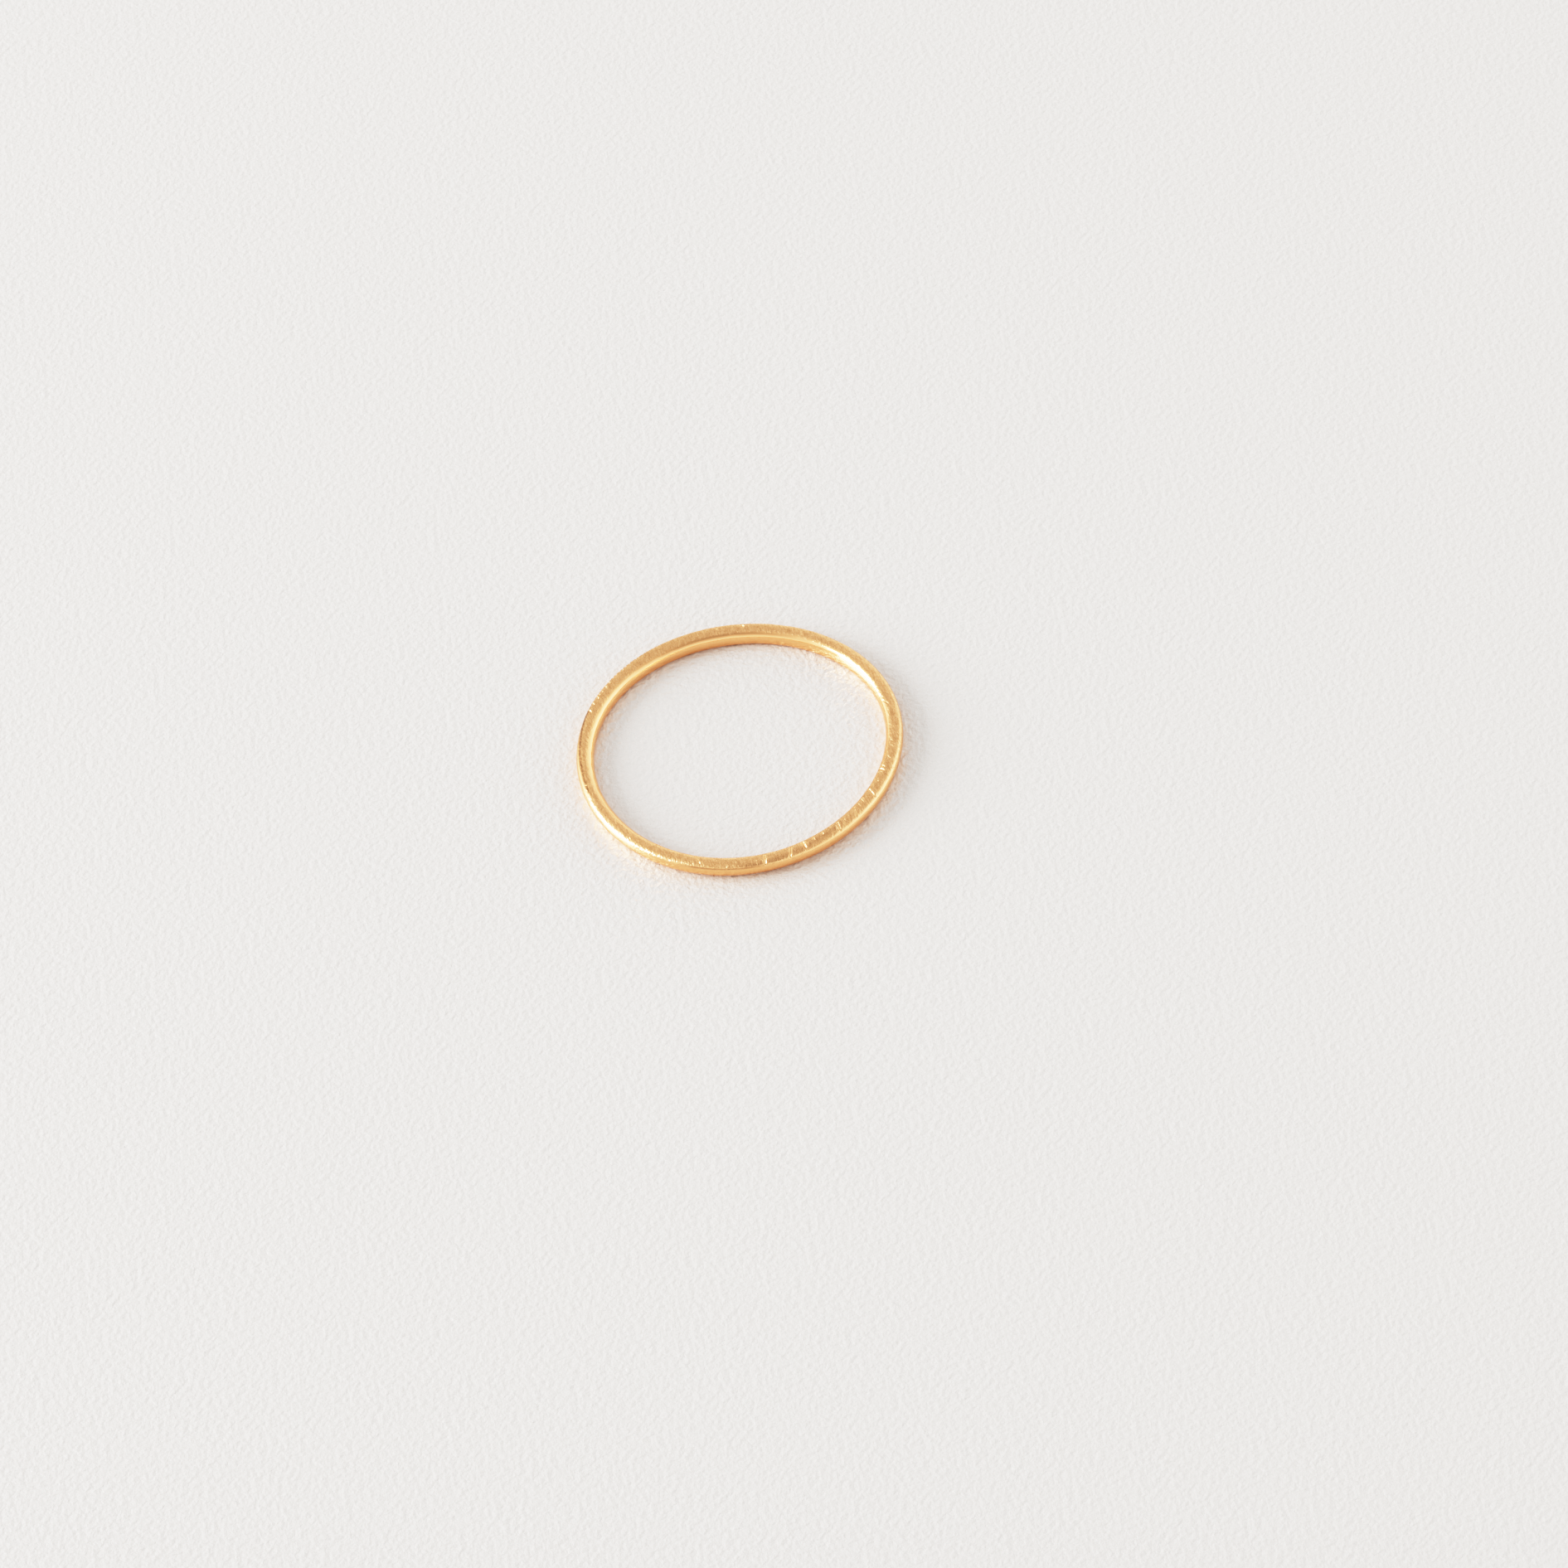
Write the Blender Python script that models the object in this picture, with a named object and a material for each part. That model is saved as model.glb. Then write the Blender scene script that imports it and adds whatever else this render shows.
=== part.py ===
"""A thin stacking ring: one closed band of round gold wire with a flattened, cut top face.

The ring lies on the narrow flat of its base. +Z is the axis through the finger hole, angles run
anticlockwise from +X as seen from above, and the origin is the middle of the ring's footprint on
the surface that it rests on. Lengths are in metres.
"""

import math
from collections import namedtuple

import bmesh
import bpy
from mathutils import Vector

MM = 0.001

# The ring as a whole.
BORE = 17.0 * MM  # across the finger hole, between the widest points of the band
BAND_WIDTH = 1.04 * MM  # from the finger side of the band to its outside
BAND_HEIGHT = 1.04 * MM  # from the base to the textured face
WIDEST_SHARE = 0.56  # how far up the band its widest level lies

# The ring was closed by hand: it strays from a circle in three slow lobes.
OUT_OF_ROUND = 0.065 * MM
LOBES = 3
FIRST_LOBE = 22.0  # degrees

# Corners of the band's section. shoulder is how much of half the band's width a corner takes up,
# and the level face or base has the rest. fullness shapes the corner's curve: 2 is an ellipse, and
# more is squarer.
Corner = namedtuple("Corner", "shoulder fullness")
OUTER_TOP = Corner(shoulder=0.10, fullness=2.2)
INNER_TOP = Corner(shoulder=0.36, fullness=2.0)
OUTER_BASE = Corner(shoulder=0.77, fullness=1.8)
INNER_BASE = Corner(shoulder=0.58, fullness=3.5)

# The face was flattened by hand, so it widens and narrows round the ring. Each row gives the
# share of its full reach, outwards and inwards, that the face has at an angle.
FaceReach = namedtuple("FaceReach", "degrees outer inner")
FACE_REACHES = (
    FaceReach(degrees=0, outer=0.89, inner=0.91),
    FaceReach(degrees=60, outer=0.93, inner=0.97),
    FaceReach(degrees=110, outer=0.95, inner=1.00),
    FaceReach(degrees=150, outer=0.82, inner=0.81),
    FaceReach(degrees=180, outer=0.49, inner=0.59),
    FaceReach(degrees=205, outer=0.73, inner=0.72),
    FaceReach(degrees=240, outer=0.93, inner=0.88),
    FaceReach(degrees=270, outer=1.00, inner=0.94),
    FaceReach(degrees=310, outer=0.87, inner=1.00),
)

# The deepest of the short cuts across the face. start and end say where a cut lies across the
# face, from -1 at its inner edge to 1 at its outer edge. depth is a share of CUT_DEPTH.
CUT_WIDTH = 0.13 * MM
CUT_DEPTH = 0.04 * MM
Cut = namedtuple("Cut", "degrees start end depth")
CUTS = (
    Cut(degrees=8.0, start=-1.0, end=0.0, depth=0.6),
    Cut(degrees=58.4, start=-0.5, end=0.5, depth=0.6),
    Cut(degrees=62.0, start=-0.5, end=0.5, depth=0.6),
    Cut(degrees=79.0, start=0.0, end=1.0, depth=0.7),
    Cut(degrees=81.4, start=0.0, end=0.5, depth=1.0),
    Cut(degrees=91.0, start=0.0, end=0.5, depth=0.6),
    Cut(degrees=108.0, start=0.5, end=1.0, depth=0.6),
    Cut(degrees=112.5, start=0.5, end=1.0, depth=0.7),
    Cut(degrees=122.5, start=0.5, end=1.0, depth=0.7),
    Cut(degrees=125.5, start=0.5, end=1.0, depth=0.8),
    Cut(degrees=128.8, start=0.5, end=1.0, depth=0.9),
    Cut(degrees=132.0, start=0.5, end=1.0, depth=0.8),
    Cut(degrees=136.0, start=0.5, end=1.0, depth=0.9),
    Cut(degrees=139.2, start=0.0, end=1.0, depth=0.8),
    Cut(degrees=144.5, start=0.0, end=1.0, depth=0.8),
    Cut(degrees=151.7, start=0.0, end=1.0, depth=0.9),
    Cut(degrees=225.5, start=0.5, end=1.0, depth=0.7),
    Cut(degrees=246.0, start=0.5, end=1.0, depth=0.6),
    Cut(degrees=247.9, start=-1.0, end=0.5, depth=0.9),
    Cut(degrees=254.5, start=-1.0, end=-0.5, depth=0.7),
    Cut(degrees=272.2, start=-1.0, end=1.0, depth=1.0),
    Cut(degrees=274.8, start=-1.0, end=0.0, depth=0.6),
    Cut(degrees=281.9, start=-1.0, end=1.0, depth=1.0),
    Cut(degrees=287.2, start=-1.0, end=0.5, depth=1.0),
    Cut(degrees=291.7, start=-1.0, end=0.0, depth=0.8),
    Cut(degrees=295.7, start=-1.0, end=0.0, depth=0.7),
    Cut(degrees=302.3, start=-1.0, end=1.0, depth=1.0),
    Cut(degrees=304.8, start=-0.5, end=1.0, depth=0.8),
    Cut(degrees=311.0, start=-1.0, end=0.5, depth=0.7),
    Cut(degrees=317.5, start=-1.0, end=0.0, depth=0.7),
    Cut(degrees=321.5, start=-1.0, end=1.0, depth=1.0),
    Cut(degrees=327.5, start=-1.0, end=0.0, depth=0.7),
    Cut(degrees=334.0, start=-1.0, end=0.0, depth=0.9),
    Cut(degrees=339.2, start=-0.5, end=0.5, depth=0.7),
    Cut(degrees=346.8, start=-0.5, end=0.5, depth=0.6),
)

# How finely the surface is divided.
STATIONS = 144  # sections round the ring, besides those at the cuts
FACE_STEPS = 4  # across the face
CORNER_STEPS = 5  # round each corner of the section
BASE_STEPS = 2  # across the base

GOLD = (0.83, 0.52, 0.22)


def eased(share):
    """A share from 0 to 1 with level ends."""
    return (1 - math.cos(math.pi * share)) / 2


def face_reach(degrees):
    """The outer and inner shares of FACE_REACHES at an angle, eased from row to row."""
    rows = FACE_REACHES + (FACE_REACHES[0]._replace(degrees=FACE_REACHES[0].degrees + 360),)
    for low, high in zip(rows, rows[1:]):
        if low.degrees <= degrees <= high.degrees:
            share = eased((degrees - low.degrees) / (high.degrees - low.degrees))
            outer = low.outer + (high.outer - low.outer) * share
            inner = low.inner + (high.inner - low.inner) * share
            return outer, inner
    raise ValueError(f"no face reach at {degrees} degrees")


def corner_curve(corner, reach, height):
    """(across, up) points from the band's side to the edge of its flat, as positive distances from
    the middle of the widest level. reach is the share of the flat that is there."""
    half_width = BAND_WIDTH / 2
    flat = (1 - corner.shoulder) * reach
    end = math.acos(flat ** (corner.fullness / 2))
    full_height = height / math.sin(end) ** (2 / corner.fullness)
    points = []
    for step in range(CORNER_STEPS + 1):
        angle = end * step / CORNER_STEPS
        across = half_width * math.cos(angle) ** (2 / corner.fullness)
        up = full_height * math.sin(angle) ** (2 / corner.fullness)
        points.append((across, up))
    return points


def section_points(degrees, cut):
    """The band's section at an angle, as (across, up) from the middle of the band at the base,
    anticlockwise from its outermost point. across is positive away from the finger."""
    widest = BAND_HEIGHT * WIDEST_SHARE
    outer, inner = face_reach(degrees)
    outer_top = corner_curve(OUTER_TOP, outer, BAND_HEIGHT - widest)
    inner_top = corner_curve(INNER_TOP, inner, BAND_HEIGHT - widest)
    inner_base = corner_curve(INNER_BASE, 1.0, widest)
    outer_base = corner_curve(OUTER_BASE, 1.0, widest)

    points = [(across, widest + up) for across, up in outer_top[:-1]]
    points += face_points(outer_top[-1][0], -inner_top[-1][0], cut)
    points += [(-across, widest + up) for across, up in reversed(inner_top[:-1])]
    points += [(-across, widest - up) for across, up in inner_base[1:-1]]
    points += level_points(-inner_base[-1][0], outer_base[-1][0], 0.0, BASE_STEPS)
    points += [(across, widest - up) for across, up in reversed(outer_base[1:-1])]
    return points


def level_points(start, end, up, steps):
    """Points along a level line, both ends included."""
    return [(start + (end - start) * step / steps, up) for step in range(steps + 1)]


def face_points(outer_edge, inner_edge, cut):
    """Points across the top face from its outer edge to its inner edge, sunk where the cut runs."""
    points = level_points(outer_edge, inner_edge, BAND_HEIGHT, FACE_STEPS)
    if cut is None:
        return points
    sunk = []
    for step, (across, up) in enumerate(points):
        place = 1 - 2 * step / FACE_STEPS
        inside = cut.start <= place <= cut.end
        sunk.append((across, up - CUT_DEPTH * cut.depth if inside else up))
    return sunk


def centre_line_radius(degrees):
    """From the ring's axis to the middle of the band."""
    lobe = math.cos(LOBES * math.radians(degrees - FIRST_LOBE))
    return (BORE + BAND_WIDTH) / 2 + OUT_OF_ROUND * lobe


def stations():
    """(degrees, cut) of each section in turn. A cut takes three: its bottom and its two rims."""
    half_cut = math.degrees(CUT_WIDTH / (BORE + BAND_WIDTH))
    at_cuts = []
    for cut in CUTS:
        at_cuts += [(cut.degrees - half_cut, None), (cut.degrees, cut), (cut.degrees + half_cut, None)]
    plain = []
    for index in range(STATIONS):
        degrees = 360 * index / STATIONS
        if all(abs(degrees - taken) > half_cut for taken, _ in at_cuts):
            plain.append((degrees, None))
    return sorted(at_cuts + plain, key=lambda station: station[0])


def ring_loops():
    """The ring's points, a closed loop of them for each station, centred on its footprint."""
    loops = []
    for degrees, cut in stations():
        radius = centre_line_radius(degrees)
        outward = Vector((math.cos(math.radians(degrees)), math.sin(math.radians(degrees)), 0))
        loop = []
        for across, up in section_points(degrees, cut):
            point = outward * (radius + across)
            point.z = up
            loop.append(point)
        loops.append(loop)
    xs = [point.x for loop in loops for point in loop]
    ys = [point.y for loop in loops for point in loop]
    middle = Vector(((min(xs) + max(xs)) / 2, (min(ys) + max(ys)) / 2, 0))
    return [[point - middle for point in loop] for loop in loops]


def lofted_mesh(name, loops):
    """A mesh through closed loops that themselves run round in a closed row."""
    shape = bmesh.new()
    rows = [[shape.verts.new(point) for point in loop] for loop in loops]
    for row, next_row in zip(rows, rows[1:] + rows[:1]):
        for index, corner in enumerate(row):
            before = index - 1
            shape.faces.new((row[before], next_row[before], next_row[index], corner))
    bmesh.ops.recalc_face_normals(shape, faces=shape.faces)
    mesh = bpy.data.meshes.new(name)
    shape.to_mesh(mesh)
    shape.free()
    return mesh


def gold_material():
    material = bpy.data.materials.new("yellow_gold")
    material.use_nodes = True
    surface = material.node_tree.nodes["Principled BSDF"]
    surface.inputs["Base Color"].default_value = (*GOLD, 1.0)
    surface.inputs["Metallic"].default_value = 1.0
    surface.inputs["Roughness"].default_value = 0.2
    return material


def make_ring_band():
    mesh = lofted_mesh("ring_band", ring_loops())
    mesh.materials.append(gold_material())
    mesh.shade_smooth()
    mesh.set_sharp_from_angle(angle=math.radians(32))
    band = bpy.data.objects.new("ring_band", mesh)
    bpy.context.scene.collection.objects.link(band)
    return band


def main():
    for leftover in list(bpy.data.objects):
        bpy.data.objects.remove(leftover)
    make_ring_band()


main()
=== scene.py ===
"""The looks of a thin gold stacking ring: its flattened face with cuts, nicks and satin grain, its
polished walls, the pale floor that it lies on, soft light, and the camera of the photograph.

Lengths are in metres. Angles round the ring are in degrees, anticlockwise from +X as seen from
above. The ring lies on the floor, z = 0, and its axis is +Z.
"""

import math
from collections import namedtuple

import bpy
import numpy as np
from mathutils import Matrix, Vector


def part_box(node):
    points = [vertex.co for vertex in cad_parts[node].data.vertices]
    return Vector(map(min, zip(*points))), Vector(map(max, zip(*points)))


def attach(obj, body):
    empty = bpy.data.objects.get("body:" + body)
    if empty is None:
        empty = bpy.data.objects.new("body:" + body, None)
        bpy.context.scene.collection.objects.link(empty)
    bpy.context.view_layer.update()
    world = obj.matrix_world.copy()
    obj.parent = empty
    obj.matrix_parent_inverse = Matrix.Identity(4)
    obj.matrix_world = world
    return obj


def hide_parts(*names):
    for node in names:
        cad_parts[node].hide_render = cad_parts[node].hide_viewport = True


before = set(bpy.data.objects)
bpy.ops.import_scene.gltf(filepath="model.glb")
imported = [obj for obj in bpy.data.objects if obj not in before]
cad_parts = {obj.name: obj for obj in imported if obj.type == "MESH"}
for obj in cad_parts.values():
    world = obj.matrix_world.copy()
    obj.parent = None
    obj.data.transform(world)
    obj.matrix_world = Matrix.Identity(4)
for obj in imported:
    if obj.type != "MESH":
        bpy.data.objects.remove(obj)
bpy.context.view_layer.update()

MM = 0.001
MICROMETRE = 1e-6

# The ring's shape. It follows the CAD part, with a rounder inner corner and with more of the turns
# that the face's edges take in the photograph.

RING_LOW, RING_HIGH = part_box("ring_band")
BAND_HEIGHT = RING_HIGH.z - RING_LOW.z
BAND_WIDTH = BAND_HEIGHT  # round wire
RING_RADIUS = (RING_HIGH.x - RING_LOW.x - BAND_WIDTH) / 2  # to the middle of the band
WIDEST_SHARE = 0.56  # how far up the band its widest level lies

OUT_OF_ROUND = 0.065 * MM
LOBES = 3
FIRST_LOBE = 22.0  # degrees

Corner = namedtuple("Corner", "shoulder fullness")
OUTER_TOP = Corner(shoulder=0.10, fullness=2.2)
INNER_TOP = Corner(shoulder=0.36, fullness=1.75)
OUTER_BASE = Corner(shoulder=0.77, fullness=1.8)
INNER_BASE = Corner(shoulder=0.58, fullness=3.5)

FaceReach = namedtuple("FaceReach", "degrees outer inner")
FACE_REACHES = (
    FaceReach(degrees=0, outer=0.89, inner=0.91),
    FaceReach(degrees=60, outer=0.93, inner=0.97),
    FaceReach(degrees=110, outer=0.95, inner=1.00),
    FaceReach(degrees=150, outer=0.82, inner=0.81),
    FaceReach(degrees=180, outer=0.49, inner=0.59),
    FaceReach(degrees=205, outer=0.87, inner=0.70),
    FaceReach(degrees=240, outer=0.93, inner=0.88),
    FaceReach(degrees=270, outer=1.00, inner=0.94),
    FaceReach(degrees=300, outer=0.80, inner=1.00),
    FaceReach(degrees=330, outer=0.76, inner=1.00),
)

# The real band has no sharp edges: its section is softened over about this distance.
SOFTENING = 0.09 * MM

# How finely the surface is divided. CROWDING gathers the divisions round the section on the face:
# 0 spreads them evenly.
STATIONS = 1990  # sections round the ring
COLUMNS = 50  # round each section
CROWDING = 0.45
DRAFT_STEPS = 24  # of each stretch of a section before it is softened
DRAFT_COLUMNS = 360

# Relief of the face.

# Strokes are cuts in the face. Each runs straight from one place to another. A place is an angle
# and a distance in mm from the middle of the band, positive outwards. width and depth are in
# micrometres.
Stroke = namedtuple("Stroke", "degrees across to_degrees to_across width depth")
STROKES = (
    Stroke(4.4, 0.05, 9.2, -0.40, 85, 30),
    Stroke(10.0, -0.30, 12.5, -0.42, 70, 24),
    Stroke(12.8, -0.28, 14.5, -0.40, 70, 22),
    Stroke(57.6, -0.20, 59.2, 0.15, 75, 24),
    Stroke(61.4, -0.10, 62.4, 0.16, 70, 24),
    Stroke(78.5, 0.36, 78.9, 0.10, 75, 27),
    Stroke(80.0, 0.40, 80.3, 0.15, 70, 27),
    Stroke(82.0, 0.28, 80.9, 0.06, 190, 70),
    Stroke(91.2, 0.25, 90.8, 0.05, 85, 27),
    Stroke(107.6, 0.42, 108.1, 0.28, 130, 58),
    Stroke(111.8, 0.42, 112.3, 0.26, 130, 58),
    Stroke(113.3, 0.42, 113.8, 0.28, 130, 58),
    Stroke(119.3, 0.44, 119.9, 0.28, 130, 58),
    Stroke(122.2, 0.50, 123.2, 0.25, 130, 58),
    Stroke(125.2, 0.50, 126.2, 0.25, 130, 58),
    Stroke(127.2, 0.50, 128.0, 0.28, 130, 58),
    Stroke(128.7, 0.50, 129.7, 0.22, 130, 58),
    Stroke(130.2, 0.50, 131.0, 0.28, 130, 58),
    Stroke(132.2, 0.50, 133.2, 0.24, 130, 58),
    Stroke(133.7, 0.50, 134.6, 0.28, 130, 58),
    Stroke(136.2, 0.50, 137.3, 0.20, 130, 58),
    Stroke(138.7, 0.48, 139.8, 0.18, 130, 58),
    Stroke(141.2, 0.46, 142.2, 0.22, 130, 58),
    Stroke(142.8, 0.45, 143.8, 0.22, 130, 58),
    Stroke(144.2, 0.45, 145.4, 0.16, 130, 58),
    Stroke(147.7, 0.42, 148.7, 0.18, 130, 58),
    Stroke(151.2, 0.42, 152.4, 0.08, 130, 40),
    Stroke(169.8, 0.36, 170.4, 0.24, 70, 22),
    Stroke(187.7, 0.30, 188.4, 0.16, 70, 22),
    Stroke(204.4, 0.06, 204.8, -0.06, 70, 24),
    Stroke(206.6, 0.08, 207.1, -0.06, 70, 24),
    Stroke(213.0, 0.14, 213.8, -0.08, 65, 16),
    Stroke(223.0, 0.46, 224.0, 0.28, 110, 12),
    Stroke(225.0, 0.46, 226.2, 0.26, 110, 12),
    Stroke(227.2, 0.46, 228.4, 0.28, 110, 12),
    Stroke(231.0, 0.44, 232.0, 0.28, 110, 12),
    Stroke(234.2, 0.44, 236.0, 0.24, 110, 18),
    Stroke(237.2, 0.42, 239.0, 0.22, 110, 18),
    Stroke(245.3, 0.42, 246.5, 0.20, 70, 30),
    Stroke(247.0, -0.26, 248.6, 0.19, 120, 40),
    Stroke(252.5, -0.32, 255.5, -0.20, 110, 30),
    Stroke(264.0, 0.14, 264.2, -0.08, 55, 16),
    Stroke(266.5, 0.20, 266.6, -0.10, 55, 16),
    Stroke(267.3, 0.18, 267.4, -0.12, 55, 16),
    Stroke(268.3, 0.20, 268.3, -0.10, 55, 16),
    Stroke(271.9, 0.44, 272.5, -0.30, 175, 64),
    Stroke(274.2, -0.02, 275.4, -0.22, 70, 27),
    Stroke(280.8, 0.44, 282.5, -0.30, 175, 64),
    Stroke(283.4, 0.40, 284.2, 0.18, 70, 27),
    Stroke(287.1, 0.22, 287.3, -0.32, 215, 68),
    Stroke(288.3, 0.14, 288.9, -0.12, 70, 27),
    Stroke(289.8, 0.42, 290.4, 0.18, 70, 30),
    Stroke(291.5, 0.00, 291.8, -0.32, 140, 36),
    Stroke(295.5, -0.02, 295.8, -0.32, 120, 32),
    Stroke(298.0, 0.42, 299.2, 0.16, 75, 32),
    Stroke(300.8, 0.20, 301.4, -0.08, 70, 27),
    Stroke(301.4, 0.35, 303.0, -0.22, 150, 50),
    Stroke(304.2, 0.30, 305.2, -0.10, 120, 36),
    Stroke(305.2, 0.10, 306.2, -0.26, 75, 30),
    Stroke(309.5, 0.34, 312.5, -0.30, 100, 30),
    Stroke(313.8, 0.06, 314.6, -0.26, 70, 24),
    Stroke(316.2, -0.02, 317.0, -0.32, 75, 32),
    Stroke(317.3, -0.06, 318.0, -0.32, 70, 30),
    Stroke(318.5, -0.08, 319.3, -0.32, 70, 30),
    Stroke(320.3, 0.36, 322.6, -0.30, 150, 48),
    Stroke(327.2, -0.04, 328.2, -0.32, 85, 32),
    Stroke(332.8, 0.00, 333.6, -0.34, 170, 52),
    Stroke(334.6, -0.10, 335.6, -0.34, 150, 40),
    Stroke(338.0, 0.20, 340.4, -0.20, 85, 35),
    Stroke(344.3, 0.10, 346.0, -0.20, 70, 27),
    Stroke(346.4, 0.12, 348.4, -0.22, 75, 30),
    Stroke(354.4, -0.02, 355.2, -0.16, 100, 30),
)
STROKE_TAPER = 1.5  # length of a stroke's tapered end, to half its width
STROKE_MARGIN = 4  # how far round a stroke the surface is worked over, to half its width
DEEP_CUT = 12 * MICROMETRE  # a cut this deep is rough all through

# A stroke throws up a ridge on both sides. BURR_SHARE is its height, to the stroke's depth.
# BURR_PLACE is how far its top lies from the stroke's middle and BURR_REACH how far it reaches to
# either side of that, both to half the stroke's width.
BURR_SHARE = 0.30
BURR_PLACE = 1.3
BURR_REACH = 0.5

# The face was rubbed flat on an abrasive, so its fine scratches run one way, BRUSHED_WAY degrees
# from +X, whatever their place on the ring. Nicks cross the face's two edges the same way.
BRUSHED_WAY = 92.0
BRUSHED_SCATTER = 13.0  # degrees
FINE_STROKES = 1500
EDGE_NICKS = 90
FINE_SEED = 11
FINE_LENGTH = (0.12, 0.60)  # mm
FINE_WIDTH = (70, 110)  # micrometres
FINE_DEPTH = (2.0, 7.0)  # micrometres
FINE_MARGIN = 0.06  # mm that the fine strokes keep from the face's edges
SMOOTHEST = 75.0  # degrees: where round the ring the fine strokes are shallowest
CALM = 0.70  # the share of their depth that they lose there
NICK_LENGTH = (0.10, 0.26)  # mm
NICK_WIDTH = (70, 110)  # micrometres
NICK_DEPTH = (3.0, 11.0)  # micrometres
NICK_SCATTER = 0.04  # mm to either side of the face's edge
OUTER_NICKS = 0.85  # the share of the nicks that lie on the outer edge

# Worn and shaded lines run along the ring, through the places in points. width, depth and places are
# given as for the strokes. smooth says how far a line is rubbed free of fine scratches, and the share
# after it how far painted shade darkens the line's colour, both from 0 to 1.
WornShadedLine = namedtuple("WornShadedLine", "width depth smooth dull points")
WORN_SHADED_LINES = (
    WornShadedLine(360, 11.0, 1.0, 1.0, ((146, 0.40), (157, 0.34), (165, 0.28), (180, 0.21), (196, 0.17))),
    WornShadedLine(240, 0.0, 1.0, 0.0, ((203, 0.43), (243, 0.42))),
    WornShadedLine(200, 10.0, 1.0, 0.75, ((239, 0.46), (250, 0.485), (264, 0.485), (275, 0.46))),
    WornShadedLine(560, 0.0, 0.0, 0.28, ((260, 0.34), (275, 0.28), (290, 0.06), (308, -0.04))),
)
WEAR_END = 8.0  # degrees over which a worn and shaded line, with its painted shade, runs out

# The face is slightly domed: it falls from its ridge to both edges. The ridge's place across the
# face is from -1 at the inner edge to 1 at the outer edge.
FACE_RIDGE = 0.05
FACE_FALL = 0.058 * MM  # at a distance of half the face's width from the ridge
# Round the angle SHIFT_AT the face leans outwards, since its ridge lies nearer the finger there.
RIDGE_SHIFT = -0.5
SHIFT_AT, SHIFT_REACH = 32, 50  # degrees

# Slow waves in the hand-finished walls, each with a number of crests round the ring and round the
# section.
WAVES = 26
WAVE_SEED = 5
WAVE_HEIGHT = 0.0035 * MM
CRESTS_ROUND_RING = (5, 60)
CRESTS_ROUND_SECTION = (0, 4)
RELIEF_START = 0.2 * BAND_HEIGHT  # up to here all relief fades out towards the base


def eased(share):
    """A share from 0 to 1 with level ends."""
    return (1 - np.cos(np.pi * share)) / 2


def face_reach(degrees):
    """The outer and inner shares of FACE_REACHES at each angle, eased from row to row."""
    rows = FACE_REACHES + (FACE_REACHES[0]._replace(degrees=FACE_REACHES[0].degrees + 360),)
    outer = np.zeros_like(degrees)
    inner = np.zeros_like(degrees)
    for low, high in zip(rows, rows[1:]):
        here = (degrees >= low.degrees) & (degrees <= high.degrees)
        share = eased((degrees[here] - low.degrees) / (high.degrees - low.degrees))
        outer[here] = low.outer + (high.outer - low.outer) * share
        inner[here] = low.inner + (high.inner - low.inner) * share
    return outer, inner


def face_edges(degrees):
    """Where the face's outer and inner edges lie, from the middle of the band."""
    outer, inner = face_reach(degrees)
    half = BAND_WIDTH / 2
    return half * (1 - OUTER_TOP.shoulder) * outer, -half * (1 - INNER_TOP.shoulder) * inner


def corner_curve(corner, reach, height):
    """(across, up) of each corner's points from the band's side to the edge of its flat."""
    flat = (1 - corner.shoulder) * reach
    end = np.arccos(flat ** (corner.fullness / 2))
    full_height = height / np.sin(end) ** (2 / corner.fullness)
    angle = end[:, None] * np.arange(DRAFT_STEPS + 1) / DRAFT_STEPS
    across = BAND_WIDTH / 2 * np.cos(angle) ** (2 / corner.fullness)
    up = full_height[:, None] * np.sin(angle) ** (2 / corner.fullness)
    return np.stack([across, up], axis=-1)


def level_points(start, end, up):
    """Points along level lines, both ends included."""
    share = np.arange(DRAFT_STEPS + 1) / DRAFT_STEPS
    across = start[:, None] + (end - start)[:, None] * share
    return np.stack([across, np.full_like(across, up)], axis=-1)


def face_ridge(degrees):
    """Where the face's ridge lies at each angle."""
    aside = np.abs((degrees - SHIFT_AT + 180) % 360 - 180)
    return FACE_RIDGE + RIDGE_SHIFT * eased(np.clip(1 - aside / SHIFT_REACH, 0, 1))


def domed(face, ridge):
    """Lets the face fall from its ridge to both edges."""
    place = 1 - 2 * np.arange(face.shape[1]) / DRAFT_STEPS
    fallen = face.copy()
    fallen[..., 1] -= FACE_FALL * (place - ridge[:, None]) ** 2
    return fallen


def lowered_corner(corner, level, fall):
    """Lowers a corner's curve above the widest level so that it meets the domed face's edge."""
    lowered = corner.copy()
    height = BAND_HEIGHT - level
    lowered[..., 1] = level + (corner[..., 1] - level) * (1 - fall[:, None] / height)
    return lowered


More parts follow.
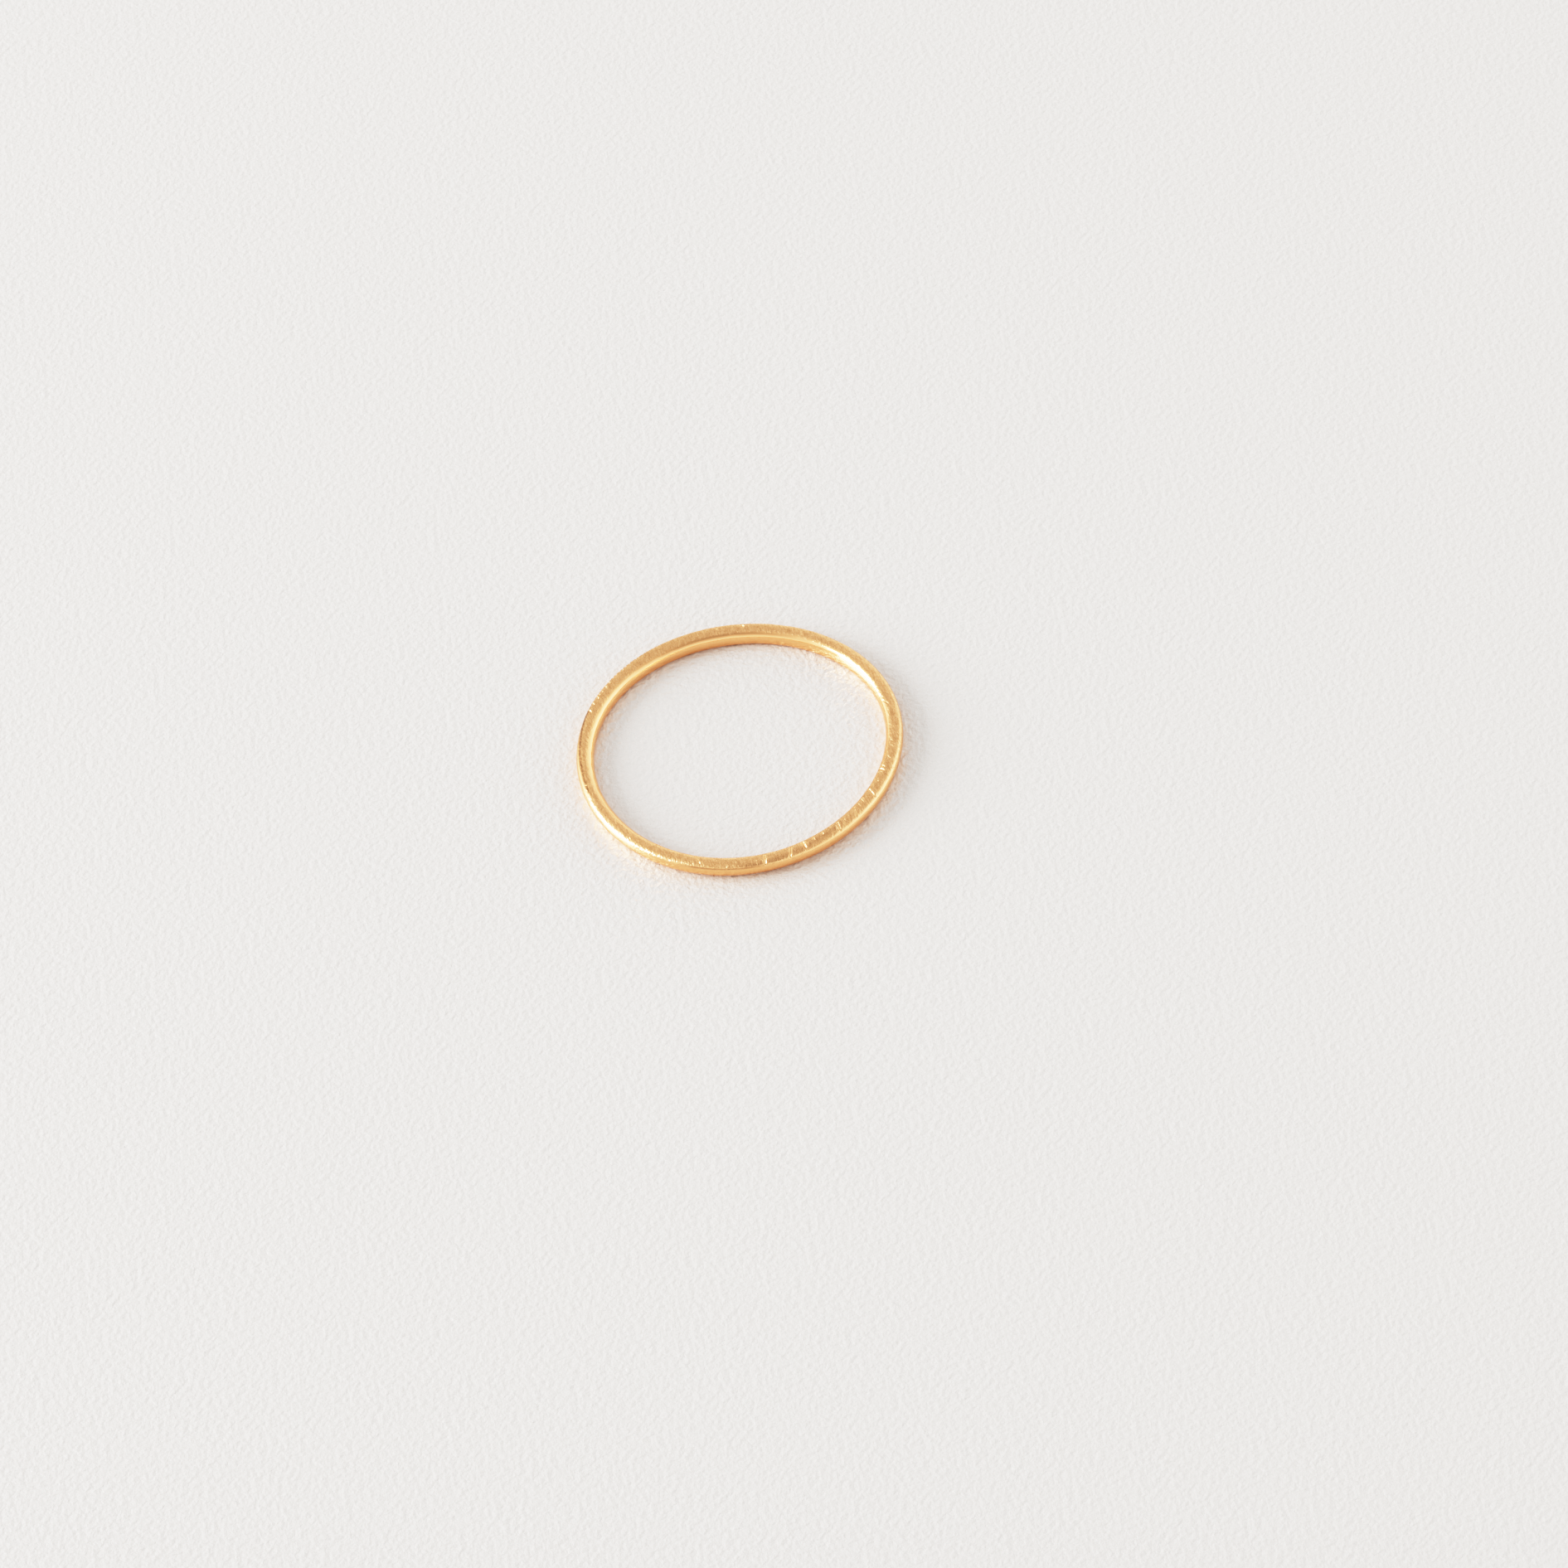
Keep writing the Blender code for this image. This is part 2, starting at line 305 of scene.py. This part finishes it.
def draft_sections(degrees):
    """The band's section at each angle with sharp edges, as (across, up) from the middle of the
    band at the base. It starts in the middle of the face and runs outwards and down."""
    widest = BAND_HEIGHT * WIDEST_SHARE
    outer, inner = face_reach(degrees)
    whole = np.ones_like(degrees)
    inward, down = np.array([-1, 1]), np.array([1, -1])
    level = np.array([0, widest])
    outer_top = corner_curve(OUTER_TOP, outer, BAND_HEIGHT - widest) + level
    inner_top = corner_curve(INNER_TOP, inner, BAND_HEIGHT - widest) * inward + level
    inner_base = corner_curve(INNER_BASE, whole, widest) * inward * down + level
    outer_base = corner_curve(OUTER_BASE, whole, widest) * down + level
    ridge = face_ridge(degrees)
    face = domed(level_points(outer_top[:, -1, 0], inner_top[:, -1, 0], BAND_HEIGHT), ridge)
    base = level_points(inner_base[:, -1, 0], outer_base[:, -1, 0], 0.0)
    outer_top = lowered_corner(outer_top, widest, FACE_FALL * (1 - ridge) ** 2)
    inner_top = lowered_corner(inner_top, widest, FACE_FALL * (1 + ridge) ** 2)
    half = DRAFT_STEPS // 2
    stretches = [
        face[:, half::-1],
        outer_top[:, -2::-1],
        outer_base[:, 1:-1],
        base[:, ::-1],
        inner_base[:, -2:0:-1],
        inner_top[:, :-1],
        face[:, :half - 1:-1],
    ]
    return np.concatenate(stretches, axis=1)


def even_columns(sections):
    """Divides each section into DRAFT_COLUMNS equal steps, and gives its girth."""
    steps = np.linalg.norm(np.diff(sections, axis=1), axis=2)
    along = np.concatenate([np.zeros((len(sections), 1)), np.cumsum(steps, axis=1)], axis=1)
    girth = along[:, -1]
    share = np.arange(DRAFT_COLUMNS) / DRAFT_COLUMNS
    even = np.zeros((len(sections), DRAFT_COLUMNS, 2))
    for row, (place, section) in enumerate(zip(along, sections)):
        for axis in range(2):
            even[row, :, axis] = np.interp(share * girth[row], place, section[:, axis])
    return even, girth


def softened(sections, girth):
    """Rounds the sections' edges: a blur along each closed section."""
    waves = np.arange(DRAFT_COLUMNS // 2 + 1)
    damping = np.exp(-2 * (np.pi * waves * SOFTENING / girth.mean()) ** 2)
    spectrum = np.fft.rfft(sections, axis=1) * damping[None, :, None]
    return np.fft.irfft(spectrum, DRAFT_COLUMNS, axis=1)


def crowded_columns(sections, girth):
    """Picks COLUMNS points of each section, closest together on the face. Their places are how far
    they lie round the section from the middle of the face, positive outwards."""
    turn = np.arange(COLUMNS) / COLUMNS
    share = turn - CROWDING * np.sin(2 * np.pi * turn) / (2 * np.pi)
    draft_share = np.arange(DRAFT_COLUMNS + 1) / DRAFT_COLUMNS
    closed = np.concatenate([sections, sections[:, :1]], axis=1)
    picked = np.zeros((len(sections), COLUMNS, 2))
    for row, section in enumerate(closed):
        for axis in range(2):
            picked[row, :, axis] = np.interp(share, draft_share, section[:, axis])
    signed = np.where(share > 0.5, share - 1, share)
    return picked, signed[None, :] * girth[:, None]


def outward_normals(sections):
    ahead = np.roll(sections, -1, axis=1) - np.roll(sections, 1, axis=1)
    normals = np.stack([-ahead[..., 1], ahead[..., 0]], axis=-1)
    return normals / np.linalg.norm(normals, axis=2, keepdims=True)


def scattered_stroke(draw, degrees, across, lengths, widths, depths):
    """A stroke of random size round a place, along the brushed way."""
    length = draw.uniform(*lengths)
    turn = math.radians(draw.normal(BRUSHED_WAY, BRUSHED_SCATTER) - degrees)
    sweep = math.degrees(length * MM * math.sin(turn) / RING_RADIUS)
    reach = length * math.cos(turn)
    return Stroke(
        degrees - sweep / 2,
        across - reach / 2,
        degrees + sweep / 2,
        across + reach / 2,
        draw.uniform(*widths),
        draw.uniform(*depths),
    )


def fine_strokes():
    """The satin finish: short shallow strokes all over the face, and nicks along its edges."""
    draw = np.random.RandomState(FINE_SEED)
    strokes = []
    for _ in range(FINE_STROKES):
        degrees = draw.uniform(0, 360)
        outer, inner = face_edges(np.array([degrees]))
        across = draw.uniform(inner[0] / MM + FINE_MARGIN, outer[0] / MM - FINE_MARGIN)
        stroke = scattered_stroke(draw, degrees, across, FINE_LENGTH, FINE_WIDTH, FINE_DEPTH)
        calm = CALM / 2 * (1 + math.cos(math.radians(degrees - SMOOTHEST)))
        strokes.append(stroke._replace(depth=stroke.depth * (1 - calm)))
    for _ in range(EDGE_NICKS):
        degrees = draw.uniform(0, 360)
        outer, inner = face_edges(np.array([degrees]))
        edge = outer if draw.uniform() < OUTER_NICKS else inner
        across = edge[0] / MM + draw.normal(0, NICK_SCATTER)
        strokes.append(scattered_stroke(draw, degrees, across, NICK_LENGTH, NICK_WIDTH, NICK_DEPTH))
    return strokes


def stroke_relief(stroke, places, relief):
    """Adds one stroke's groove and ridges to the relief of the points near it."""
    half_width = stroke.width * MICROMETRE / 2
    per_degree = math.radians(1) * RING_RADIUS
    start = np.array([stroke.degrees * per_degree, stroke.across * MM])
    end = np.array([stroke.to_degrees * per_degree, stroke.to_across * MM])
    margin = STROKE_MARGIN * half_width / per_degree
    low = min(stroke.degrees, stroke.to_degrees) - margin
    high = max(stroke.degrees, stroke.to_degrees) + margin
    step = 360 / STATIONS
    rows = np.arange(math.floor(low / step), math.ceil(high / step) + 1)
    wrapped = rows % STATIONS
    along = np.broadcast_to((rows * step * per_degree)[:, None], (len(rows), places.shape[1]))
    point = np.stack([along, places[wrapped]], axis=-1) - start
    run = end - start
    length = np.linalg.norm(run)
    run = run / length
    share = point @ run / length
    aside = (point @ np.array([-run[1], run[0]])) / half_width
    from_end = np.minimum(share, 1 - share) * length
    taper = np.clip(from_end / (STROKE_TAPER * half_width) + 0.5, 0, 1)
    groove = np.minimum(np.abs(aside), 1) - 1
    ridges = BURR_SHARE * np.maximum(1 - np.abs(np.abs(aside) - BURR_PLACE) / BURR_REACH, 0)
    relief[wrapped] += stroke.depth * MICROMETRE * eased(taper) * (groove + ridges)


def worn_and_shaded_share(line, degrees, places):
    """How far each point lies in a worn and shaded line, from 0 to 1. It sets the line's smoothing and
    groove, and its painted shade.
    """
    at, across = np.array(line.points).T
    middle = np.interp(degrees, at, across)[:, None] * MM
    aside = np.abs(places - middle) / (line.width * MICROMETRE / 2)
    inside = np.minimum(degrees - at[0], at[-1] - degrees) / WEAR_END
    return eased(np.clip(inside, 0, 1))[:, None] * eased(np.clip(1 - aside, 0, 1))


def wall_waves(degrees, columns):
    """Slow unevenness all round the ring, closed on itself both ways."""
    draw = np.random.RandomState(WAVE_SEED)
    around = np.radians(degrees)[:, None]
    girth = 2 * np.pi * np.arange(columns)[None, :] / columns
    waves = np.zeros((len(degrees), columns))
    for _ in range(WAVES):
        turns = draw.randint(*CRESTS_ROUND_RING)
        lobes = draw.randint(*CRESTS_ROUND_SECTION)
        phase = draw.uniform(0, 2 * np.pi)
        waves += np.cos(turns * around + lobes * girth + phase) / math.sqrt(turns)
    return WAVE_HEIGHT * waves


def ring_surface():
    """The ring's points, a closed loop of them at each station; how far inside the face's nearer
    edge each lies; and how far it is sunk in a cut and how far painted shade darkens it, both from 0 to
    1."""
    degrees = np.arange(STATIONS) * 360 / STATIONS
    even, girth = even_columns(draft_sections(degrees))
    sections, places = crowded_columns(softened(even, girth), girth)
    normals = outward_normals(sections)

    relief = np.zeros(places.shape)
    for stroke in fine_strokes():
        stroke_relief(stroke, places, relief)
    cuts = np.zeros(places.shape)
    for stroke in STROKES:
        stroke_relief(stroke, places, cuts)
    # Painted shade: the worn and shaded lines darken the colour along them, each by its own share.
    dull = np.zeros(places.shape)
    for line in WORN_SHADED_LINES:
        worn_and_shaded = worn_and_shaded_share(line, degrees, places)
        relief -= worn_and_shaded * (line.smooth * relief + line.depth * MICROMETRE)
        dull = np.maximum(dull, worn_and_shaded * line.dull)
    outer, inner = face_edges(degrees)
    inside_face = np.minimum(outer[:, None] - places, places - inner[:, None])
    relief += cuts + wall_waves(degrees, COLUMNS)
    relief *= np.clip((sections[..., 1] - RING_LOW.z) / RELIEF_START, 0, 1)
    sections = sections + normals * relief[..., None]

    lobe = np.cos(LOBES * np.radians(degrees - FIRST_LOBE))
    radius = (RING_RADIUS + OUT_OF_ROUND * lobe)[:, None] + sections[..., 0]
    around = np.radians(degrees)[:, None]
    points = np.stack([radius * np.cos(around), radius * np.sin(around), sections[..., 1]], axis=-1)
    flat = points.reshape(-1, 3)
    low, high = flat.min(axis=0), flat.max(axis=0)
    points[..., :2] += np.array((RING_LOW + RING_HIGH) / 2)[:2] - ((low + high) / 2)[:2]
    points[..., 2] += RING_LOW.z - low[2]
    return points, inside_face, np.clip(-cuts / DEEP_CUT, 0, 1), dull


def band_mesh(name, points):
    rows, columns = points.shape[:2]
    index = np.arange(rows * columns).reshape(rows, columns)
    beside = np.roll(index, -1, axis=0)
    quads = np.stack([index, np.roll(index, -1, axis=1), np.roll(beside, -1, axis=1), beside], axis=-1)
    mesh = bpy.data.meshes.new(name)
    mesh.from_pydata(points.reshape(-1, 3).tolist(), [], quads.reshape(-1, 4).tolist())
    mesh.shade_smooth()
    return mesh


def add_share(mesh, name, values):
    share = mesh.attributes.new(name, "FLOAT", "POINT")
    share.data.foreach_set("value", values.ravel())


# Gold.

WALL_GOLD = (0.95, 0.535, 0.278)
FACE_GOLD = (0.98, 0.582, 0.32)
STREAK_GOLD = (0.77, 0.442, 0.23)  # where the face is dullest
PAINTED_SHADE_GOLD = (0.31, 0.175, 0.09)  # painted shade: the gold darkened along the worn and shaded lines
WALL_ROUGHNESS = 0.20
FACE_ROUGHNESS = 0.30
ROUGHNESS_SPREAD = 0.08
CUT_ROUGHNESS = 0.36
CUT_LOW, CUT_HIGH = 0.1, 0.5  # a cut turns rough between these shares of DEEP_CUT
FACE_BORDER = 0.07 * MM  # over which the satin face fades into the polished walls
BORDER_WANDER = 0.10 * MM  # how far that border strays to either side
WANDER_SIZE = 0.25 * MM
GRAIN_SIZE = 0.07 * MM
GRAIN_HEIGHT = 0.005 * MM
MOTTLE_SIZE = 0.22 * MM
MOTTLE_HEIGHT = 0.014 * MM
NOISE_LOW, NOISE_HIGH = 0.3, 0.7  # the shares between which noise mostly stays
# Long fine scratches, turn degrees off the brushed way, and how high each kind stands.
Scratches = namedtuple("Scratches", "turn length width")
BRUSHINGS = (
    (Scratches(turn=0, length=0.45 * MM, width=0.070 * MM), 0.0060 * MM),
    (Scratches(turn=28, length=0.35 * MM, width=0.060 * MM), 0.0035 * MM),
)
STREAKS = Scratches(turn=8, length=0.50 * MM, width=0.110 * MM)  # of dull and bright metal


def noise(nodes, links, coordinates, scale, detail):
    grain = nodes.new("ShaderNodeTexNoise")
    grain.inputs["Scale"].default_value = scale
    grain.inputs["Detail"].default_value = detail
    links.new(coordinates, grain.inputs["Vector"])
    return grain.outputs["Fac"]


def ranged(nodes, links, value, low, high, at_low, at_high, smooth=False):
    """A value that goes from at_low to at_high while the input goes from low to high."""
    ramp = nodes.new("ShaderNodeMapRange")
    ramp.interpolation_type = "SMOOTHSTEP" if smooth else "LINEAR"
    ramp.inputs["From Min"].default_value = low
    ramp.inputs["From Max"].default_value = high
    ramp.inputs["To Min"].default_value = at_low
    ramp.inputs["To Max"].default_value = at_high
    links.new(value, ramp.inputs["Value"])
    return ramp.outputs["Result"]


def combined(nodes, links, operation, first, second):
    math_node = nodes.new("ShaderNodeMath")
    math_node.operation = operation
    for socket, value in zip(math_node.inputs, (first, second)):
        if isinstance(value, float):
            socket.default_value = value
        else:
            links.new(value, socket)
    return math_node.outputs["Value"]


def attribute(nodes, name):
    node = nodes.new("ShaderNodeAttribute")
    node.attribute_name = name
    return node.outputs["Fac"]


def brushed(nodes, links, place, scratches):
    """A share from 0 to 1 that varies in long fine lines."""
    turned = nodes.new("ShaderNodeMapping")
    turned.inputs["Rotation"].default_value = (0, 0, math.radians(90 - BRUSHED_WAY - scratches.turn))
    stretched = nodes.new("ShaderNodeMapping")
    width, length = scratches.width, scratches.length
    stretched.inputs["Scale"].default_value = (1 / width, 1 / length, 1 / length)
    links.new(place, turned.inputs["Vector"])
    links.new(turned.outputs["Vector"], stretched.inputs["Vector"])
    lines = noise(nodes, links, stretched.outputs["Vector"], 1.0, 2.0)
    return ranged(nodes, links, lines, NOISE_LOW, NOISE_HIGH, 0, 1)


def gold_material():
    material = bpy.data.materials.new("satin_and_polished_gold")
    material.use_nodes = True
    nodes, links = material.node_tree.nodes, material.node_tree.links
    surface = nodes["Principled BSDF"]
    surface.inputs["Metallic"].default_value = 1.0
    place = nodes.new("ShaderNodeTexCoord").outputs["Object"]

    wander = noise(nodes, links, place, 1 / WANDER_SIZE, 3.0)
    wander = ranged(nodes, links, wander, NOISE_LOW, NOISE_HIGH, -BORDER_WANDER, BORDER_WANDER)
    inside = combined(nodes, links, "ADD", attribute(nodes, "inside_face"), wander)
    satin = ranged(nodes, links, inside, -FACE_BORDER, FACE_BORDER, 0, 1, smooth=True)
    cut = attribute(nodes, "cut")

    streaks = brushed(nodes, links, place, STREAKS)
    streaked = nodes.new("ShaderNodeMix")
    streaked.data_type = "RGBA"
    streaked.inputs["A"].default_value = (*STREAK_GOLD, 1)
    streaked.inputs["B"].default_value = (*FACE_GOLD, 1)
    links.new(streaks, streaked.inputs["Factor"])
    colour = nodes.new("ShaderNodeMix")
    colour.data_type = "RGBA"
    colour.inputs["A"].default_value = (*WALL_GOLD, 1)
    links.new(satin, colour.inputs["Factor"])
    links.new(streaked.outputs["Result"], colour.inputs["B"])
    # Painted shade: the colour darkens along the worn and shaded lines.
    worn_and_shaded = nodes.new("ShaderNodeMix")
    worn_and_shaded.data_type = "RGBA"
    worn_and_shaded.inputs["B"].default_value = (*PAINTED_SHADE_GOLD, 1)
    links.new(attribute(nodes, "dull"), worn_and_shaded.inputs["Factor"])
    links.new(colour.outputs["Result"], worn_and_shaded.inputs["A"])
    links.new(worn_and_shaded.outputs["Result"], surface.inputs["Base Color"])

    grain = noise(nodes, links, place, 1 / GRAIN_SIZE, 3.0)
    low, high = FACE_ROUGHNESS - ROUGHNESS_SPREAD, FACE_ROUGHNESS + ROUGHNESS_SPREAD
    face_rough = ranged(nodes, links, grain, NOISE_LOW, NOISE_HIGH, low, high)
    rough_gain = combined(nodes, links, "SUBTRACT", face_rough, WALL_ROUGHNESS)
    rough = combined(nodes, links, "MULTIPLY", satin, rough_gain)
    rough = combined(nodes, links, "ADD", rough, WALL_ROUGHNESS)
    cut_rough = ranged(nodes, links, cut, CUT_LOW, CUT_HIGH, 0.0, CUT_ROUGHNESS)
    rough = combined(nodes, links, "MAXIMUM", rough, cut_rough)
    links.new(rough, surface.inputs["Roughness"])

    height = ranged(nodes, links, grain, NOISE_LOW, NOISE_HIGH, -GRAIN_HEIGHT / 2, GRAIN_HEIGHT / 2)
    mottle = noise(nodes, links, place, 1 / MOTTLE_SIZE, 1.0)
    mottle = ranged(nodes, links, mottle, NOISE_LOW, NOISE_HIGH, -MOTTLE_HEIGHT / 2, MOTTLE_HEIGHT / 2)
    height = combined(nodes, links, "ADD", height, mottle)
    for scratches, full_height in BRUSHINGS:
        raised = combined(nodes, links, "MULTIPLY", brushed(nodes, links, place, scratches), full_height)
        height = combined(nodes, links, "ADD", height, raised)
    height = combined(nodes, links, "MULTIPLY", height, satin)
    bump = nodes.new("ShaderNodeBump")
    bump.inputs["Distance"].default_value = 1.0
    bump.inputs["Strength"].default_value = 1.0
    links.new(height, bump.inputs["Height"])
    links.new(bump.outputs["Normal"], surface.inputs["Normal"])
    return material


def make_ring():
    points, inside_face, cut, dull = ring_surface()
    mesh = band_mesh("gold_ring", points)
    add_share(mesh, "inside_face", inside_face)
    add_share(mesh, "cut", cut)
    # how far painted shade darkens the colour at each point
    add_share(mesh, "dull", dull)
    mesh.materials.append(gold_material())
    ring = bpy.data.objects.new("gold_ring", mesh)
    bpy.context.scene.collection.objects.link(ring)
    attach(ring, "root")
    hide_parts("ring_band")


# Floor.

FLOOR_SIZE = 3.0
FLOOR_COLOUR = (0.745, 0.718, 0.697)
FLOOR_ROUGHNESS = 0.24
FLOOR_IOR = 1.85  # a sheen that grows towards the light
FLOOR_GRAIN = 0.36 * MM
FLOOR_RELIEF = 0.12 * MM


def make_floor():
    half = FLOOR_SIZE / 2
    mesh = bpy.data.meshes.new("floor")
    corners = [(-half, -half, 0), (half, -half, 0), (half, half, 0), (-half, half, 0)]
    mesh.from_pydata(corners, [], [(0, 1, 2, 3)])
    material = bpy.data.materials.new("pale_floor")
    material.use_nodes = True
    nodes, links = material.node_tree.nodes, material.node_tree.links
    surface = nodes["Principled BSDF"]
    surface.inputs["Base Color"].default_value = (*FLOOR_COLOUR, 1)
    surface.inputs["Roughness"].default_value = FLOOR_ROUGHNESS
    surface.inputs["IOR"].default_value = FLOOR_IOR
    place = nodes.new("ShaderNodeTexCoord")
    grain = nodes.new("ShaderNodeTexNoise")
    grain.inputs["Scale"].default_value = 1 / FLOOR_GRAIN
    grain.inputs["Detail"].default_value = 3.0
    links.new(place.outputs["Object"], grain.inputs["Vector"])
    bump = nodes.new("ShaderNodeBump")
    bump.inputs["Distance"].default_value = FLOOR_RELIEF
    bump.inputs["Strength"].default_value = 1.0
    links.new(grain.outputs["Fac"], bump.inputs["Height"])
    links.new(bump.outputs["Normal"], surface.inputs["Normal"])
    mesh.materials.append(material)
    floor = bpy.data.objects.new("floor", mesh)
    bpy.context.scene.collection.objects.link(floor)


# Light.

LIGHT_COLOUR = (1.0, 0.995, 0.98)

# Each softbox stands at an azimuth and elevation from the ring, SOFTBOX_DISTANCE away, and faces it.
# across and upright are the angles that it fills, seen from the ring. glow is its radiance.
SOFTBOX_DISTANCE = 0.8
Softbox = namedtuple("Softbox", "name azimuth elevation across upright glow lights_floor")
SOFTBOXES = (
    Softbox("window_left", 172, 20, 32, 32, 14.0, True),
    Softbox("window_glare", 172, 19, 32, 34, 14.0, False),
    Softbox("card_right", -12, 22, 64, 42, 0.4, True),
)

# The room's own light. HORIZON_GLOW is its radiance up to the elevation HORIZON, and it fades from
# there to WALL_GLOW at the elevation WALL, and to CEILING_GLOW at the elevation CEILING.
HORIZON_GLOW, HORIZON = 2.3, 6
WALL_GLOW, WALL = 1.65, 20
CEILING_GLOW, CEILING = 0.79, 53

# Parts of the room that are lighter or darker than the rest, each centred on a direction. They fade
# out at an angle of reach from it.
Patch = namedtuple("Patch", "azimuth elevation reach gain")
PATCHES = (
    Patch(azimuth=112, elevation=17, reach=24, gain=0.55),
    Patch(azimuth=165, elevation=42, reach=52, gain=2.1),
    Patch(azimuth=15, elevation=40, reach=52, gain=1.75),
)


def towards(azimuth, elevation):
    a, e = math.radians(azimuth), math.radians(elevation)
    return Vector((math.cos(a) * math.cos(e), math.sin(a) * math.cos(e), math.sin(e)))


def make_softbox(box):
    light = bpy.data.lights.new(box.name, "AREA")
    light.shape = "RECTANGLE"
    light.size = 2 * SOFTBOX_DISTANCE * math.tan(math.radians(box.across / 2))
    light.size_y = 2 * SOFTBOX_DISTANCE * math.tan(math.radians(box.upright / 2))
    light.energy = box.glow * math.pi * light.size * light.size_y
    light.color = LIGHT_COLOUR
    lamp = bpy.data.objects.new(box.name, light)
    direction = towards(box.azimuth, box.elevation)
    lamp.location = direction * SOFTBOX_DISTANCE
    lamp.rotation_euler = direction.to_track_quat("Z", "Y").to_euler()
    lamp.visible_camera = False
    lamp.visible_diffuse = box.lights_floor
    bpy.context.scene.collection.objects.link(lamp)


def light_room():
    world = bpy.data.worlds.new("pale_room")
    world.use_nodes = True
    nodes, links = world.node_tree.nodes, world.node_tree.links
    background = nodes["Background"]
    background.inputs["Color"].default_value = (*LIGHT_COLOUR, 1)
    direction = nodes.new("ShaderNodeTexCoord").outputs["Generated"]
    split = nodes.new("ShaderNodeSeparateXYZ")
    links.new(direction, split.inputs["Vector"])
    height = split.outputs["Z"]

    def rise(degrees):
        return math.sin(math.radians(degrees))

    glow = ranged(nodes, links, height, rise(WALL), rise(CEILING), WALL_GLOW, CEILING_GLOW)
    foot = HORIZON_GLOW / WALL_GLOW
    foot = ranged(nodes, links, height, rise(HORIZON), rise(WALL), foot, 1)
    glow = combined(nodes, links, "MULTIPLY", glow, foot)
    for patch in PATCHES:
        nearness = nodes.new("ShaderNodeVectorMath")
        nearness.operation = "DOT_PRODUCT"
        nearness.inputs[1].default_value = towards(patch.azimuth, patch.elevation)
        links.new(direction, nearness.inputs[0])
        edge = math.cos(math.radians(patch.reach))
        gain = ranged(nodes, links, nearness.outputs["Value"], edge, 1, 1, patch.gain, smooth=True)
        glow = combined(nodes, links, "MULTIPLY", glow, gain)
    links.new(glow, background.inputs["Strength"])
    bpy.context.scene.world = world
    for box in SOFTBOXES:
        make_softbox(box)


# Camera.

IMAGE_SIZE = 1891  # pixels, both ways
RING_PIXEL = (892.7, 902.8)  # where the photograph shows the middle of the ring
PIXELS_PER_MM = 20.82  # at the ring
CAMERA_DISTANCE = 400 * MM
CAMERA_ELEVATION = 47.77
CAMERA_ROLL = 9.76  # how far the ring's X axis rises to the right in the picture
SENSOR_WIDTH = 36.0


def make_camera():
    elevation, roll = math.radians(CAMERA_ELEVATION), math.radians(CAMERA_ROLL)
    back = Vector((0, -math.cos(elevation), math.sin(elevation)))
    level_right = Vector((1, 0, 0))
    level_up = back.cross(level_right)
    right = level_right * math.cos(roll) - level_up * math.sin(roll)
    up = level_right * math.sin(roll) + level_up * math.cos(roll)

    centre = (RING_LOW + RING_HIGH) / 2
    to_frame_middle = [(IMAGE_SIZE / 2 - pixel) / PIXELS_PER_MM * MM for pixel in RING_PIXEL]
    aim = centre + right * to_frame_middle[0] - up * to_frame_middle[1]
    place = centre + back * CAMERA_DISTANCE
    back = (place - aim).normalized()
    right = up.cross(back).normalized()
    up = back.cross(right)

    camera = bpy.data.cameras.new("camera")
    camera.sensor_width = SENSOR_WIDTH
    camera.lens = SENSOR_WIDTH * PIXELS_PER_MM / MM * CAMERA_DISTANCE / IMAGE_SIZE
    camera.clip_start = 0.01
    camera.clip_end = 20.0
    holder = bpy.data.objects.new("camera", camera)
    holder.matrix_world = Matrix.Translation(place) @ Matrix((right, up, back)).transposed().to_4x4()
    bpy.context.scene.collection.objects.link(holder)
    bpy.context.scene.camera = holder


# Film. The photograph's contrast and soft highlights: light is raised to the power CONTRAST, then
# levels off towards white. KNEE is how sharply it turns.
CONTRAST = 1.6
KNEE = 1.7
BRIGHTEST = 12.0  # light beyond this, after CONTRAST, is white
CURVE_POINTS = 24
CURVE_CROWDING = 3  # more than 1 gathers the curve's points in the dark tones
ALL_CHANNELS = 3  # which of the film's curves is for red, green and blue alike

# The lens's glow round what is very bright.
BLOOM_FROM = 3.0
BLOOM_STRENGTH = 0.25
BLOOM_SIZE = 0.02


def levelled(light):
    return light / (1 + light**KNEE) ** (1 / KNEE)


def develop():
    scene = bpy.context.scene
    scene.view_settings.view_transform = "Standard"
    scene.use_nodes = True
    nodes, links = scene.node_tree.nodes, scene.node_tree.links
    nodes.clear()
    render = nodes.new("CompositorNodeRLayers")
    bloom = nodes.new("CompositorNodeGlare")
    bloom.glare_type = "BLOOM"
    bloom.inputs["Threshold"].default_value = BLOOM_FROM
    bloom.inputs["Strength"].default_value = BLOOM_STRENGTH
    bloom.inputs["Size"].default_value = BLOOM_SIZE
    contrast = nodes.new("CompositorNodeGamma")
    contrast.inputs["Gamma"].default_value = CONTRAST
    film = nodes.new("CompositorNodeCurveRGB")
    film.inputs["White Level"].default_value = (BRIGHTEST, BRIGHTEST, BRIGHTEST, 1)
    film.mapping.extend = "HORIZONTAL"
    curve = film.mapping.curves[ALL_CHANNELS]
    curve.points[1].location = (1, 1)
    for index in range(1, CURVE_POINTS):
        share = (index / CURVE_POINTS) ** CURVE_CROWDING
        curve.points.new(share, levelled(share * BRIGHTEST) / levelled(BRIGHTEST))
    for point in curve.points:
        point.handle_type = "AUTO_CLAMPED"
    film.mapping.update()
    result = nodes.new("CompositorNodeComposite")
    links.new(render.outputs["Image"], bloom.inputs["Image"])
    links.new(bloom.outputs["Image"], contrast.inputs["Image"])
    links.new(contrast.outputs["Image"], film.inputs["Image"])
    links.new(film.outputs["Image"], result.inputs["Image"])


make_ring()
make_floor()
light_room()
make_camera()
develop()
